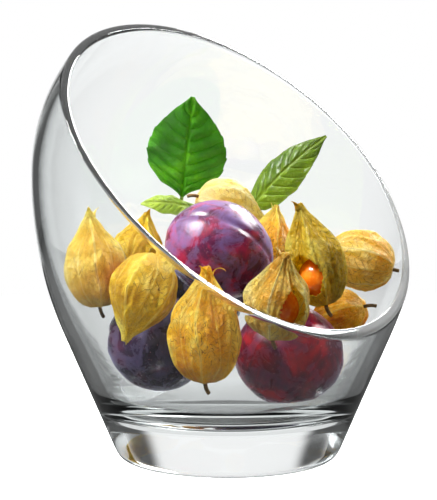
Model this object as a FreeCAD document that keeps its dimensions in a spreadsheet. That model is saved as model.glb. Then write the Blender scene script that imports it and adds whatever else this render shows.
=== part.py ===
import FreeCAD, Part
import Sketcher
import math
import os

# A free-standing glass bowl with a slanted mouth, and the fruit that lies in it:
# plums, physalis in their papery husks and a sprig of basil.
# Frame: the base stands on z = 0 with its centre at the origin, +Z is up and the
# low side of the slanted mouth faces -Y. All lengths are in millimetres.

os.makedirs("parts", exist_ok=True)
doc = FreeCAD.newDocument("fruit_bowl")
X = FreeCAD.Vector(1, 0, 0)
Y = FreeCAD.Vector(0, 1, 0)
Z = FreeCAD.Vector(0, 0, 1)

# ---------------------------------------------------------------- sizes
sheet = doc.addObject("Spreadsheet::Sheet", "sizes")
sheet_rows = []


def size(name, value, note):
    """Adds one named size to the sheet and gives its value back."""
    sheet_rows.append(name)
    row = len(sheet_rows)
    sheet.set("A%d" % row, name)
    sheet.set("B%d" % row, "%g" % value)
    sheet.set("C%d" % row, note)
    sheet.setAlias("B%d" % row, name)
    return value


# glass bowl
base_radius = size("base_radius", 46.2, "radius where the cone would meet the table")
base_rounding = size("base_rounding", 7.8, "rounding of the foot corner")
cone_angle = size("cone_angle", 23.6, "wall angle from upright, lower part, degrees")
cone_top = size("cone_top", 52.9, "height where the cone turns into the belly")
belly_height = size("belly_height", 120.3, "height of the widest ring")
belly_radius = size("belly_radius", 83.5, "outer radius at the widest ring")
belly_lower_arc = size("belly_lower_arc", 168.3, "outer profile radius under the widest ring")
belly_upper_arc = size("belly_upper_arc", 85.8, "outer profile radius over the widest ring")
inner_radius = size("inner_radius", 80.5, "inner radius at the widest ring")
inner_lower_arc = size("inner_lower_arc", 150.0, "inner profile radius under the widest ring")
inner_cone_angle = size("inner_cone_angle", 26.0, "lean of the straight lower part of the inside wall, degrees")
inner_upper_arc = size("inner_upper_arc", 79.3, "inner profile radius over the widest ring")
floor_height = size("floor_height", 19.5, "thickness of the solid foot at its centre")
floor_arc = size("floor_arc", 260.0, "dish radius of the inside floor")
floor_corner = size("floor_corner", 16.0, "rounding between floor and wall")
mouth_tilt = size("mouth_tilt", 51.75, "slant of the mouth from level, degrees")
mouth_height = size("mouth_height", 144.6, "height where the mouth plane crosses the axis")
rim_rounding = size("rim_rounding", 1.1, "fire-polished rounding of the rim")

# fruit and leaves
husk_wall = size("husk_wall", 0.6, "wall of a papery husk")
husk_valley = size("husk_valley", 0.93, "radius between two ribs, share of the rib radius")
berry_radius = size("berry_radius", 8.4, "radius of a physalis berry")
berry_neck = size("berry_neck", 1.8, "radius of the neck that joins a berry to its husk")
stalk_radius = size("stalk_radius", 0.8, "radius of the dry stalk under a husk")
stalk_length = size("stalk_length", 5.5, "length of the dry stalk")
leaf_thickness = size("leaf_thickness", 0.7, "thickness of a basil leaf")
sprig_radius = size("sprig_radius", 1.3, "radius of the basil stem")
petiole_radius = size("petiole_radius", 0.9, "radius of a leaf stalk")
doc.recompute()


# ---------------------------------------------------------------- helpers
def plane_of(body, role):
    for item in body.Origin.OriginFeatures:
        if item.Role == role:
            return item
    raise RuntimeError(role)


def add_body(label):
    body = doc.addObject("PartDesign::Body", label)
    body.Label = label
    return body


def sketch_on(body, role, label):
    """A sketch on one of the body's three base planes."""
    sketch = body.newObject("Sketcher::SketchObject", label)
    sketch.AttachmentSupport = [(plane_of(body, role), "")]
    sketch.MapMode = "FlatFace"
    return sketch


def free_sketch(body, label, origin, side, up):
    """A sketch whose x and y run along side and up, through origin."""
    sketch = body.newObject("Sketcher::SketchObject", label)
    normal = side.cross(up)
    sketch.Placement = FreeCAD.Placement(origin, FreeCAD.Rotation(side, up, normal, "ZXY"))
    return sketch


def rule(sketch, kind, where, value, formula=None):
    """One dimension of a sketch, tied to the sheet when a formula is given."""
    index = sketch.addConstraint(Sketcher.Constraint(kind, *where, value))
    if formula:
        sketch.setExpression("Constraints[%d]" % index, formula)
    return index


def arc_between(centre, radius, start, end, bulge):
    """Arc of a circle from start to end that passes the side of bulge."""
    middle = bulge - centre
    middle.multiply(radius / middle.Length)
    return Part.Arc(start, centre + middle, end)


def closed_chain(sketch, geometry):
    """Adds the pieces in order and joins each end to the next start."""
    first = sketch.GeometryCount
    for piece in geometry:
        sketch.addGeometry(piece, False)
    count = len(geometry)
    for step in range(count):
        here = first + step
        after = first + (step + 1) % count
        end_point = sketch.getPoint(here, 2)
        best = 1
        if end_point.distanceToPoint(sketch.getPoint(after, 1)) > 0.001:
            best = 2
        side = 2
        if end_point.distanceToPoint(sketch.getPoint(after, best)) > 0.001:
            side = 1
            start_point = sketch.getPoint(here, 1)
            best = 1
            if start_point.distanceToPoint(sketch.getPoint(after, 1)) > 0.001:
                best = 2
        sketch.addConstraint(Sketcher.Constraint("Coincident", here, side, after, best))
    return first


def finish(body):
    doc.recompute()
    for item in body.Group:
        for state in item.State:
            if state in ("Invalid", "Error"):
                raise RuntimeError("%s %s %s" % (body.Label, item.Label, state))
    if body.Shape.isNull() or not body.Shape.isValid():
        raise RuntimeError("bad shape in " + body.Label)
    return body


def unit(x, y, z):
    vector = FreeCAD.Vector(x, y, z)
    vector.normalize()
    return vector


def aim(axis, turn):
    """Rotation that takes +Z to axis after a turn (degrees) about +Z."""
    return FreeCAD.Rotation(Z, axis).multiply(FreeCAD.Rotation(Z, turn))


built = []


# ---------------------------------------------------------------- the glass bowl
def build_bowl():
    body = add_body("glass_bowl")
    lean = math.radians(cone_angle)
    # foot corner: the rounding touches the table and the cone
    corner_in = base_rounding * math.tan((math.pi / 2 - lean) / 2)
    foot_flat = FreeCAD.Vector(base_radius - corner_in, 0, 0)
    foot_cone = FreeCAD.Vector(base_radius + corner_in * math.sin(lean), corner_in * math.cos(lean), 0)
    foot_centre = FreeCAD.Vector(foot_flat.x, base_rounding, 0)
    # belly arcs meet upright at the widest ring
    belly = FreeCAD.Vector(belly_radius, belly_height, 0)
    lower_centre = FreeCAD.Vector(belly_radius - belly_lower_arc, belly_height, 0)
    upper_centre = FreeCAD.Vector(belly_radius - belly_upper_arc, belly_height, 0)
    cone_end = FreeCAD.Vector(
        lower_centre.x + math.sqrt(belly_lower_arc ** 2 - (cone_top - belly_height) ** 2), cone_top, 0)
    blank_top = 200.0
    outer_top = FreeCAD.Vector(
        upper_centre.x + math.sqrt(belly_upper_arc ** 2 - (blank_top - belly_height) ** 2), blank_top, 0)

    sketch = sketch_on(body, "XZ_Plane", "bowl_outside")
    axis_top = FreeCAD.Vector(0, blank_top, 0)
    corner_mid = foot_centre + FreeCAD.Vector(base_rounding * math.sin((math.pi / 2 + lean) / 2 - lean),
                                              -base_rounding * math.cos((math.pi / 2 + lean) / 2 - lean), 0)
    outline = [
        Part.LineSegment(FreeCAD.Vector(0, 0, 0), foot_flat),
        arc_between(foot_centre, base_rounding, foot_flat, foot_cone, corner_mid),
        Part.LineSegment(foot_cone, cone_end),
        arc_between(lower_centre, belly_lower_arc, cone_end, belly, (cone_end + belly) * 0.5),
        arc_between(upper_centre, belly_upper_arc, belly, outer_top, (belly + outer_top) * 0.5),
        Part.LineSegment(outer_top, axis_top),
        Part.LineSegment(axis_top, FreeCAD.Vector(0, 0, 0)),
    ]
    closed_chain(sketch, outline)
    sketch.addConstraint(Sketcher.Constraint("Coincident", 0, 1, -1, 1))
    sketch.addConstraint(Sketcher.Constraint("Horizontal", 0))
    sketch.addConstraint(Sketcher.Constraint("Horizontal", 5))
    sketch.addConstraint(Sketcher.Constraint("Vertical", 6))
    rule(sketch, "Radius", (1,), base_rounding, "sizes.base_rounding")
    rule(sketch, "Radius", (3,), belly_lower_arc, "sizes.belly_lower_arc")
    rule(sketch, "Radius", (4,), belly_upper_arc, "sizes.belly_upper_arc")
    rule(sketch, "DistanceY", (-1, 1, 3, 2), belly_height, "sizes.belly_height")
    rule(sketch, "DistanceX", (-1, 1, 3, 2), belly_radius, "sizes.belly_radius")
    rule(sketch, "DistanceY", (-1, 1, 2, 2), cone_top, "sizes.cone_top")
    rule(sketch, "DistanceX", (-1, 1, 2, 2), cone_end.x)
    rule(sketch, "DistanceX", (-1, 1, 0, 2), foot_flat.x)
    rule(sketch, "DistanceX", (-1, 1, 2, 1), foot_cone.x)
    rule(sketch, "DistanceY", (-1, 1, 2, 1), foot_cone.y)
    rule(sketch, "DistanceX", (-1, 1, 5, 1), outer_top.x)
    rule(sketch, "DistanceY", (-1, 1, 5, 1), outer_top.y)
    blank = body.newObject("PartDesign::Revolution", "bowl_blank")
    blank.Profile = sketch
    blank.ReferenceAxis = (sketch, ["V_Axis"])
    blank.Angle = 360
    doc.recompute()

    # hollow, open towards the top of the blank
    inner = FreeCAD.Vector(inner_radius, belly_height, 0)
    in_low = FreeCAD.Vector(inner_radius - inner_lower_arc, belly_height, 0)
    in_high = FreeCAD.Vector(inner_radius - inner_upper_arc, belly_height, 0)
    dish = FreeCAD.Vector(0, floor_height + floor_arc, 0)
    # the wall arc runs into a straight cone, which meets the dish
    slant = math.radians(inner_cone_angle)
    down = FreeCAD.Vector(-math.sin(slant), -math.cos(slant), 0)
    cone_head = in_low + FreeCAD.Vector(math.cos(slant), -math.sin(slant), 0) * inner_lower_arc
    start = cone_head - dish
    fall = start.dot(down)
    meet = cone_head + down * (math.sqrt(fall ** 2 - start.Length ** 2 + floor_arc ** 2) - fall)
    hollow_top = 202.0
    hollow_x = in_high.x + math.sqrt(inner_upper_arc ** 2 - (196.5 - belly_height) ** 2)
    neck = FreeCAD.Vector(hollow_x, 196.5, 0)
    cavity = sketch_on(body, "XZ_Plane", "bowl_inside")
    floor_mid = FreeCAD.Vector(0, floor_height, 0)
    outline = [
        arc_between(dish, floor_arc, floor_mid, meet, (floor_mid + meet) * 0.5),
        Part.LineSegment(meet, cone_head),
        arc_between(in_low, inner_lower_arc, cone_head, inner, (cone_head + inner) * 0.5),
        arc_between(in_high, inner_upper_arc, inner, neck, (inner + neck) * 0.5),
        Part.LineSegment(neck, FreeCAD.Vector(neck.x, hollow_top, 0)),
        Part.LineSegment(FreeCAD.Vector(neck.x, hollow_top, 0), FreeCAD.Vector(0, hollow_top, 0)),
        Part.LineSegment(FreeCAD.Vector(0, hollow_top, 0), floor_mid),
    ]
    closed_chain(cavity, outline)
    rule(cavity, "Radius", (0,), floor_arc, "sizes.floor_arc")
    rule(cavity, "Radius", (2,), inner_lower_arc, "sizes.inner_lower_arc")
    rule(cavity, "Radius", (3,), inner_upper_arc, "sizes.inner_upper_arc")
    cavity.addConstraint(Sketcher.Constraint("PointOnObject", 6, 1, -2))
    cavity.addConstraint(Sketcher.Constraint("PointOnObject", 6, 2, -2))
    rule(cavity, "DistanceY", (-1, 1, 6, 2), floor_height, "sizes.floor_height")
    rule(cavity, "DistanceX", (-1, 1, 3, 1), inner_radius, "sizes.inner_radius")
    rule(cavity, "DistanceY", (-1, 1, 3, 1), belly_height, "sizes.belly_height")
    rule(cavity, "DistanceX", (-1, 1, 1, 2), cone_head.x)
    rule(cavity, "DistanceY", (-1, 1, 1, 2), cone_head.y)
    hollow = body.newObject("PartDesign::Groove", "bowl_hollow")
    hollow.Profile = cavity
    hollow.ReferenceAxis = (cavity, ["V_Axis"])
    hollow.Angle = 360
    doc.recompute()
    if hollow.Shape.Volume > blank.Shape.Volume * 0.6:
        raise RuntimeError("the hollow was not cut")

    # soft corner between the floor and the wall
    corner_name = None
    for number, edge in enumerate(hollow.Shape.Edges):
        box = edge.BoundBox
        flat = box.ZLength < 0.01
        if flat and abs(box.ZMax - meet.y) < 0.05 and abs(box.XMax - meet.x) < 0.1:
            corner_name = "Edge%d" % (number + 1)
    soft = body.newObject("PartDesign::Fillet", "floor_corner")
    soft.Base = (hollow, [corner_name])
    soft.Radius = floor_corner
    soft.setExpression("Radius", "sizes.floor_corner")
    body.Tip = soft
    doc.recompute()

    # slanted mouth: all above the tilted plane is cut away, seen along X
    slope = math.tan(math.radians(mouth_tilt))
    reach = 118.0
    slant = sketch_on(body, "YZ_Plane", "mouth_cut")
    low = FreeCAD.Vector(-reach, mouth_height - reach * slope, 0)
    high = FreeCAD.Vector(reach, mouth_height + reach * slope, 0)
    top_left = FreeCAD.Vector(-reach, high.y, 0)
    closed_chain(slant, [
        Part.LineSegment(low, high),
        Part.LineSegment(high, top_left),
        Part.LineSegment(top_left, low),
    ])
    slant.addConstraint(Sketcher.Constraint("Horizontal", 1))
    slant.addConstraint(Sketcher.Constraint("Vertical", 2))
    rule(slant, "Angle", (0,), math.radians(mouth_tilt), "sizes.mouth_tilt * 1deg")
    rule(slant, "DistanceX", (-1, 1, 0, 2), reach)
    rule(slant, "DistanceX", (0, 1, -1, 1), reach)
    slant.addConstraint(Sketcher.Constraint("DistanceY", -1, 1, 0, 2, high.y))
    mouth = body.newObject("PartDesign::Pocket", "mouth")
    mouth.Profile = slant
    mouth.Type = 0
    mouth.SideType = "Symmetric"
    mouth.Length = 260
    doc.recompute()
    if mouth.Shape.Volume > soft.Shape.Volume * 0.97:
        raise RuntimeError("the mouth was not cut")

    # fire-polished rim: every edge that lies in the mouth plane
    normal = FreeCAD.Vector(0, -math.sin(math.radians(mouth_tilt)), math.cos(math.radians(mouth_tilt)))
    level = normal.dot(FreeCAD.Vector(0, 0, mouth_height))
    rim_edges = []
    for number, edge in enumerate(mouth.Shape.Edges):
        if edge.Degenerated or edge.Length < 0.5:
            continue
        points = edge.discretize(7)
        if max(abs(normal.dot(point) - level) for point in points) < 0.02:
            rim_edges.append("Edge%d" % (number + 1))
    rim = body.newObject("PartDesign::Fillet", "rim")
    rim.Base = (mouth, rim_edges)
    rim.Radius = rim_rounding
    rim.setExpression("Radius", "sizes.rim_rounding")
    body.Tip = rim
    finish(body)
    built.append(body)
    return body


# ---------------------------------------------------------------- plums
# plum outline from the far end (-1) to the stalk end, which sinks into a dimple:
# height as a share of the half length, radius as a share of the half width
PLUM_OUTLINE = (
    (-1.00, 0.00),
    (-0.88, 0.44),
    (-0.56, 0.81),
    (-0.10, 0.99),
    (0.37, 0.92),
    (0.74, 0.65),
    (0.91, 0.38),
    (0.965, 0.19),
    (0.92, 0.00),
)


def build_plum(label, centre, axis, turn, half_length, half_width):
    """Long oval plum with a stalk dimple at the +axis end."""
    size(label + "_half_length", half_length, "half length")
    size(label + "_half_width", half_width, "half width")
    doc.recompute()
    body = add_body(label)
    outline = Part.BSplineCurve()
    points = [FreeCAD.Vector(width * half_width, height * half_length, 0) for height, width in PLUM_OUTLINE]
    outline.interpolate(
        Points=points,
        InitialTangent=FreeCAD.Vector(half_width, 0, 0),
        FinalTangent=FreeCAD.Vector(-half_width, 0, 0))
    sketch = sketch_on(body, "XZ_Plane", label + "_outline")
    closed_chain(sketch, [outline, Part.LineSegment(points[-1], points[0])])
    sketch.addConstraint(Sketcher.Constraint("Block", 0))
    flesh = body.newObject("PartDesign::Revolution", label + "_flesh")
    flesh.Profile = sketch
    flesh.ReferenceAxis = (sketch, ["V_Axis"])
    flesh.Angle = 360
    doc.recompute()

    body.Placement = FreeCAD.Placement(FreeCAD.Vector(*centre), aim(axis, turn))
    finish(body)
    built.append(body)
    return body


# ---------------------------------------------------------------- physalis
# rib radius along a husk, from the stalk end (0) to the closed tip (1)
HUSK_STATIONS = (
    (0.00, 0.30),
    (0.05, 0.58),
    (0.18, 0.87),
    (0.42, 1.00),
    (0.64, 0.82),
    (0.80, 0.50),
    (0.92, 0.22),
    (1.00, 0.12),
)


def rib_section(body, label, height, radius, valley, turn, formula):
    """Ten-sided ring: five ribs with a shallower corner between each two."""
    sketch = free_sketch(body, label, Z * height, X, Y)
    corners = []
    for step in range(10):
        reach = radius if step % 2 == 0 else radius * valley
        angle = math.radians(turn + 36 * step)
        corners.append(FreeCAD.Vector(reach * math.cos(angle), reach * math.sin(angle), 0))
    closed_chain(sketch, [Part.LineSegment(corners[step], corners[(step + 1) % 10]) for step in range(10)])
    sketch.addGeometry(Part.Circle(FreeCAD.Vector(0, 0, 0), Z, radius), True)
    sketch.addGeometry(Part.Circle(FreeCAD.Vector(0, 0, 0), Z, radius * valley), True)
    sketch.addConstraint(Sketcher.Constraint("Coincident", 10, 3, -1, 1))
    sketch.addConstraint(Sketcher.Constraint("Coincident", 11, 3, -1, 1))
    rule(sketch, "Radius", (10,), radius, formula)
    rule(sketch, "Radius", (11,), radius * valley, "(%s) * sizes.husk_valley" % formula)
    for step in range(10):
        ring = 10 if step % 2 == 0 else 11
        sketch.addConstraint(Sketcher.Constraint("PointOnObject", step, 1, ring))
    return sketch


def build_physalis(label, bulb, axis, turn, radius, length, window=None, stub=stalk_length):
    """Husk, berry and dry stalk. bulb is the centre of the widest ring."""
    size(label + "_husk_radius", radius, "rib radius of the husk")
    size(label + "_husk_length", length, "length of the husk")
    doc.recompute()
    rotation = aim(axis, turn)
    origin = FreeCAD.Vector(*bulb) - rotation.multVec(Z * (0.42 * length))
    place = FreeCAD.Placement(origin, rotation)

    husk = add_body("husk_" + label)
    rings = []
    for number, (share, swell) in enumerate(HUSK_STATIONS):
        formula = "sizes.%s_husk_radius * %g" % (label, swell)
        rings.append(rib_section(husk, "%s_ring_%d" % (label, number), share * length,
                                 swell * radius, husk_valley, 0, formula))
    doc.recompute()
    skin = husk.newObject("PartDesign::AdditiveLoft", label + "_skin")
    skin.Profile = rings[0]
    skin.Sections = rings[1:]
    skin.Ruled = False
    doc.recompute()

    # the inside follows the outside one wall further in and runs out at the tip
    holes = []
    for number, (share, swell) in enumerate(HUSK_STATIONS):
        height = share * length
        reach = max(swell * radius - husk_wall, 0.4)
        formula = "sizes.%s_husk_radius * %g - sizes.husk_wall" % (label, swell)
        if number == 0:
            height = 0.9
            reach = swell * radius
            formula = "sizes.%s_husk_radius * %g" % (label, swell)
        if number == len(HUSK_STATIONS) - 1:
            height = length + 1.0
        holes.append(rib_section(husk, "%s_hollow_%d" % (label, number), height,
                                 reach, husk_valley, 0, formula))
    doc.recompute()
    hollow = husk.newObject("PartDesign::SubtractiveLoft", label + "_hollow")
    hollow.Profile = holes[0]
    hollow.Sections = holes[1:]
    hollow.Ruled = False
    doc.recompute()
    if hollow.Shape.Volume > skin.Shape.Volume * 0.5:
        raise RuntimeError("husk is not hollow: " + label)

    if window:
        # torn opening: a slanted gap in the paper on one side of the husk
        facing, low, high, width, lean = window
        angle = math.radians(facing)
        out = FreeCAD.Vector(math.cos(angle), math.sin(angle), 0)
        side = Z.cross(out)
        tear = free_sketch(husk, label + "_tear_outline", out * (radius * 0.35), side, Z)
        corners = [
            FreeCAD.Vector(-0.30 * width, low * length, 0),
            FreeCAD.Vector(0.25 * width, (low + 0.03) * length, 0),
            FreeCAD.Vector(0.50 * width, (0.55 * low + 0.45 * high) * length, 0),
            FreeCAD.Vector(0.30 * width + lean, high * length, 0),
            FreeCAD.Vector(-0.15 * width + lean, (high - 0.02) * length, 0),
            FreeCAD.Vector(-0.50 * width, (0.50 * low + 0.50 * high) * length, 0),
        ]
        closed_chain(tear, [Part.LineSegment(corners[step], corners[(step + 1) % 6]) for step in range(6)])
        doc.recompute()
        cut = husk.newObject("PartDesign::Pocket", label + "_tear")
        cut.Profile = tear
        cut.Type = 0
        cut.Length = radius
        cut.Reversed = True
        doc.recompute()
        if cut.Shape.Volume > hollow.Shape.Volume - 20.0:
            raise RuntimeError("husk is not torn: " + label)
    husk.Placement = place
    finish(husk)
    built.append(husk)

    # berry: a ball with a short neck that ends flat on the husk's inner floor
    berry = add_body("berry_" + label)
    ball = min(berry_radius, radius - 3.2)
    size(label + "_berry_radius", ball, "radius of the berry")
    doc.recompute()
    rise = 0.9 + ball + 2.4
    foot = 0.9
    shoulder = rise - math.sqrt(ball ** 2 - berry_neck ** 2)
    outline = sketch_on(berry, "XZ_Plane", label + "_berry_outline")
    closed_chain(outline, [
        Part.LineSegment(FreeCAD.Vector(0, foot, 0), FreeCAD.Vector(berry_neck, foot, 0)),
        Part.LineSegment(FreeCAD.Vector(berry_neck, foot, 0), FreeCAD.Vector(berry_neck, shoulder, 0)),
        arc_between(FreeCAD.Vector(0, rise, 0), ball, FreeCAD.Vector(berry_neck, shoulder, 0),
                    FreeCAD.Vector(0, rise + ball, 0), FreeCAD.Vector(ball, rise, 0)),
        Part.LineSegment(FreeCAD.Vector(0, rise + ball, 0), FreeCAD.Vector(0, foot, 0)),
    ])
    outline.addConstraint(Sketcher.Constraint("Horizontal", 0))
    outline.addConstraint(Sketcher.Constraint("Vertical", 1))
    outline.addConstraint(Sketcher.Constraint("PointOnObject", 3, 1, -2))
    outline.addConstraint(Sketcher.Constraint("PointOnObject", 3, 2, -2))
    outline.addConstraint(Sketcher.Constraint("PointOnObject", 2, 3, -2))
    rule(outline, "Radius", (2,), ball, "sizes.%s_berry_radius" % label)
    rule(outline, "DistanceX", (-1, 1, 0, 2), berry_neck, "sizes.berry_neck")
    rule(outline, "DistanceY", (-1, 1, 0, 2), foot)
    rule(outline, "DistanceY", (-1, 1, 2, 3), rise)
    flesh = berry.newObject("PartDesign::Revolution", label + "_berry_ball")
    flesh.Profile = outline
    flesh.ReferenceAxis = (outline, ["V_Axis"])
    flesh.Angle = 360
    berry.Placement = place
    finish(berry)
    built.append(berry)

    # dry stalk: bends away from the middle of the husk's flat end
    stalk = add_body("stalk_" + label)
    section = sketch_on(stalk, "XY_Plane", label + "_stalk_section")
    section.addGeometry(Part.Circle(FreeCAD.Vector(0, 0, 0), Z, stalk_radius), False)
    section.addConstraint(Sketcher.Constraint("Coincident", 0, 3, -1, 1))
    rule(section, "Radius", (0,), stalk_radius, "sizes.stalk_radius")
    path = sketch_on(stalk, "XZ_Plane", label + "_stalk_path")
    bend = 7.0
    sweep = stub / bend
    path_end = FreeCAD.Vector(bend * (1 - math.cos(sweep)), -bend * math.sin(sweep), 0)
    path_mid = FreeCAD.Vector(bend * (1 - math.cos(sweep / 2)), -bend * math.sin(sweep / 2), 0)
    path.addGeometry(Part.Arc(FreeCAD.Vector(0, 0, 0), path_mid, path_end), False)
    rule(path, "Radius", (0,), bend)
    doc.recompute()
    pipe = stalk.newObject("PartDesign::AdditivePipe", label + "_stalk_pipe")
    pipe.Profile = section
    pipe.Spine = (path, ["Edge1"])
    stalk.Placement = place
    finish(stalk)
    built.append(stalk)


# ---------------------------------------------------------------- basil
# half width along a leaf, from its stalk (0) to its tip (1)
LEAF_STATIONS = (
    (0.00, 0.10),
    (0.10, 0.52),
    (0.28, 0.93),
    (0.46, 1.00),
    (0.66, 0.83),
    (0.84, 0.45),
    (1.00, 0.07),
)


def build_leaf(label, base, tip, facing, half_width, fold, bow):
    """Thin blade from base to tip. fold bends its sides back, bow arches its length."""
    base = FreeCAD.Vector(*base)
    tip = FreeCAD.Vector(*tip)
    along = tip - base
    length = along.Length
    along.normalize()
    side = along.cross(facing)
    side.normalize()
    face = side.cross(along)
    size(label + "_half_width", half_width, "half width of the blade")
    doc.recompute()
    body = add_body(label)
    rings = []
    for number, (share, spread) in enumerate(LEAF_STATIONS):
        centre = base + along * (share * length) + face * (bow * 4 * share * (1 - share))
        tangent = along + face * (bow * 4 * (1 - 2 * share) / length)
        tangent.normalize()
        up = tangent.cross(side)
        half = spread * half_width
        drop = fold * spread * spread
        thick = leaf_thickness * (0.55 + 0.45 * spread)
        sketch = free_sketch(body, "%s_rib_%d" % (label, number), centre, side, up * -1)
        left = FreeCAD.Vector(-half, drop, 0)
        right = FreeCAD.Vector(half, drop, 0)
        crown = FreeCAD.Vector(0, 0, 0)
        lift = FreeCAD.Vector(0, thick, 0)
        closed_chain(sketch, [
            Part.Arc(left, crown, right),
            Part.LineSegment(right, right + lift),
            Part.Arc(right + lift, crown + lift, left + lift),
            Part.LineSegment(left + lift, left),
        ])
        sketch.addConstraint(Sketcher.Constraint("Vertical", 1))
        sketch.addConstraint(Sketcher.Constraint("Vertical", 3))
        rule(sketch, "DistanceX", (3, 2, 1, 1), 2 * half, "sizes.%s_half_width * %g" % (label, 2 * spread))
        rule(sketch, "DistanceY", (1, 1, 1, 2), thick, "sizes.leaf_thickness * %g" % (0.55 + 0.45 * spread))
        rings.append(sketch)
    doc.recompute()
    blade = body.newObject("PartDesign::AdditiveLoft", label + "_blade")
    blade.Profile = rings[0]
    blade.Sections = rings[1:]
    blade.Ruled = False
    finish(body)
    built.append(body)
    start_way = along + face * (bow * 4 / length)
    start_way.normalize()
    return base, start_way


def build_sprig(label, foot, node, leaves):
    """Basil stem: an upright rod from foot to node, and a thin twig to each leaf."""
    foot = FreeCAD.Vector(*foot)
    node = FreeCAD.Vector(*node)
    shapes = []

    def rod(name, start, end, radius, alias):
        piece = doc.addObject("Part::Cylinder", "%s_%s" % (label, name))
        piece.Radius = radius
        piece.setExpression("Radius", "sizes." + alias)
        piece.Height = (end - start).Length
        piece.Placement = FreeCAD.Placement(start, FreeCAD.Rotation(Z, end - start))
        shapes.append(piece)

    def ball(name, centre, radius):
        piece = doc.addObject("Part::Sphere", "%s_%s" % (label, name))
        piece.Radius = radius
        piece.Placement = FreeCAD.Placement(centre, FreeCAD.Rotation())
        shapes.append(piece)

    rod("trunk", foot, node, sprig_radius, "sprig_radius")
    ball("knuckle", node, sprig_radius * 1.25)
    for number, (base, start_way) in enumerate(leaves):
        elbow = base - start_way * 2.5
        rod("twig_%d" % number, node, elbow, petiole_radius, "petiole_radius")
        ball("elbow_%d" % number, elbow, petiole_radius)
        rod("end_%d" % number, elbow, base, petiole_radius, "petiole_radius")
    joined = doc.addObject("Part::MultiFuse", label)
    joined.Shapes = shapes
    joined.Label = label
    doc.recompute()
    for state in joined.State:
        if state in ("Invalid", "Error"):
            raise RuntimeError(label + " " + state)
    if joined.Shape.isNull() or not joined.Shape.isValid():
        raise RuntimeError("bad shape in " + label)
    built.append(joined)


# ---------------------------------------------------------------- the whole bowl
build_bowl()

build_plum("plum_upper", (-5.8, -1.2, 89.4), unit(0.76, -0.55, -0.42), 200, 24.5, 21.5)
build_plum("plum_left", (-22.2, 20.6, 48.4), unit(-0.89, 0.46, 0.1), 40, 23.5, 21.5)
build_plum("plum_right", (13.4, -24.2, 44.9), unit(0.66, -0.78, 0.1), 120, 24.0, 21.8)
build_plum("plum_rear", (13.0, 35.1, 70.6), unit(0.93, -0.37, -0.29), 10, 22.8, 20.0)

build_physalis("front", (-33.9, -29.2, 56.6), unit(-0.05, -0.09, 1), 8, 15.2, 44.0)
build_physalis("front_left", (-46.1, -4.8, 72.0), unit(-0.355, 0.08, -0.932), 20, 14.8, 36.0)
build_physalis("far_left", (-49.6, 28.0, 81.6), unit(-0.11, 0.02, 1), 30, 14.6, 41.0)
build_physalis("rear_left", (-23.0, 37.0, 88.3), unit(0.2, -0.15, 1), 50, 13.8, 33.0)
build_physalis("front_right", (-16.4, -51.0, 68.6), unit(-0.1, -0.34, 0.93), 0, 14.2, 34.0,
               window=(258, 0.20, 0.72, 13.0, 2.0))
build_physalis("centre_right", (14.2, -39.2, 84.0), unit(-0.197, 0.157, 0.968), 15, 13.3, 43.0,
               window=(185, 0.12, 0.52, 12.0, -2.0))
build_physalis("far_right", (43.4, -36.8, 84.8), unit(-0.58, 0.77, 0.25), 25, 14.6, 35.0, stub=2.6)
build_physalis("low_right", (46.2, -21.5, 60.9), unit(-0.31, 0.88, -0.3), 60, 12.0, 31.0)
build_physalis("top", (25.0, 30.9, 110.4), unit(0.88, -0.32, -0.34), 5, 15.0, 38.0)
build_physalis("rear_right", (30.3, 7.9, 91.2), unit(0.27, 0.03, 0.96), 35, 13.0, 36.0)
build_physalis("rear_low", (40.7, 12.6, 47.4), unit(-0.04, 0.42, 0.6), 70, 12.5, 34.0)

large = build_leaf("basil_leaf_large", (16.8, 57.6, 117.4), (7.4, 35.8, 162.4),
                   unit(-0.62, -0.78, 0.1), 20.0, 2.0, 0.5)
right = build_leaf("basil_leaf_right", (43.8, 38.0, 110.6), (63.1, 3.4, 145.6),
                   unit(-0.56, -0.70, 0.45), 10.5, 3.5, 5.0)
small = build_leaf("basil_leaf_small", (18.6, 53.0, 112.2), (-3.7, 63.1, 113.6),
                   unit(-0.5, -0.6, 0.6), 6.5, 1.5, 2.0)
build_sprig("basil_stem", (37.0, 51.0, 85.3), (33.4, 51.4, 109.4), (large, right, small))

for item in built:
    shape = item.Shape
    if shape.isNull() or not shape.isValid():
        raise RuntimeError("bad shape in " + item.Label)
    shape.exportStep("parts/%s.step" % item.Label)
    print(item.Label, round(shape.Volume / 1000.0, 2), "cm3")
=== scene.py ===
import math

import bmesh
import bpy
import numpy as np
from mathutils import Matrix, Vector, noise


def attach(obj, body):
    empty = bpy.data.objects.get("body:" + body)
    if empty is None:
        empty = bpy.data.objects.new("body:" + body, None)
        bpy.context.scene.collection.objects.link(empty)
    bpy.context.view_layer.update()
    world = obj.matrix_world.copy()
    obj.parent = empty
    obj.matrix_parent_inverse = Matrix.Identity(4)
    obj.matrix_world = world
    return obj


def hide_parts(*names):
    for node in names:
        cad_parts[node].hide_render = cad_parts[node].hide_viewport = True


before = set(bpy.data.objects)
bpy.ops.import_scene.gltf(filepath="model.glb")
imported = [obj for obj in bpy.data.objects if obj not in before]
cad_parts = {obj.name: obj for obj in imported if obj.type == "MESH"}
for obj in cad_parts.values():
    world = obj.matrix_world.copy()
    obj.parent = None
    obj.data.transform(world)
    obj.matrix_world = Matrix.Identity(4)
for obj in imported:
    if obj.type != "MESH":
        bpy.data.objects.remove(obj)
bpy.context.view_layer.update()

MM = 0.001
TAU = 2 * math.pi
UP = Vector((0, 0, 1))
FORWARD = (0.624, 0.781, 0.0)   # the way the camera looks, level
ACROSS = (0.781, -0.624, 0.0)   # to the camera's right


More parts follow.
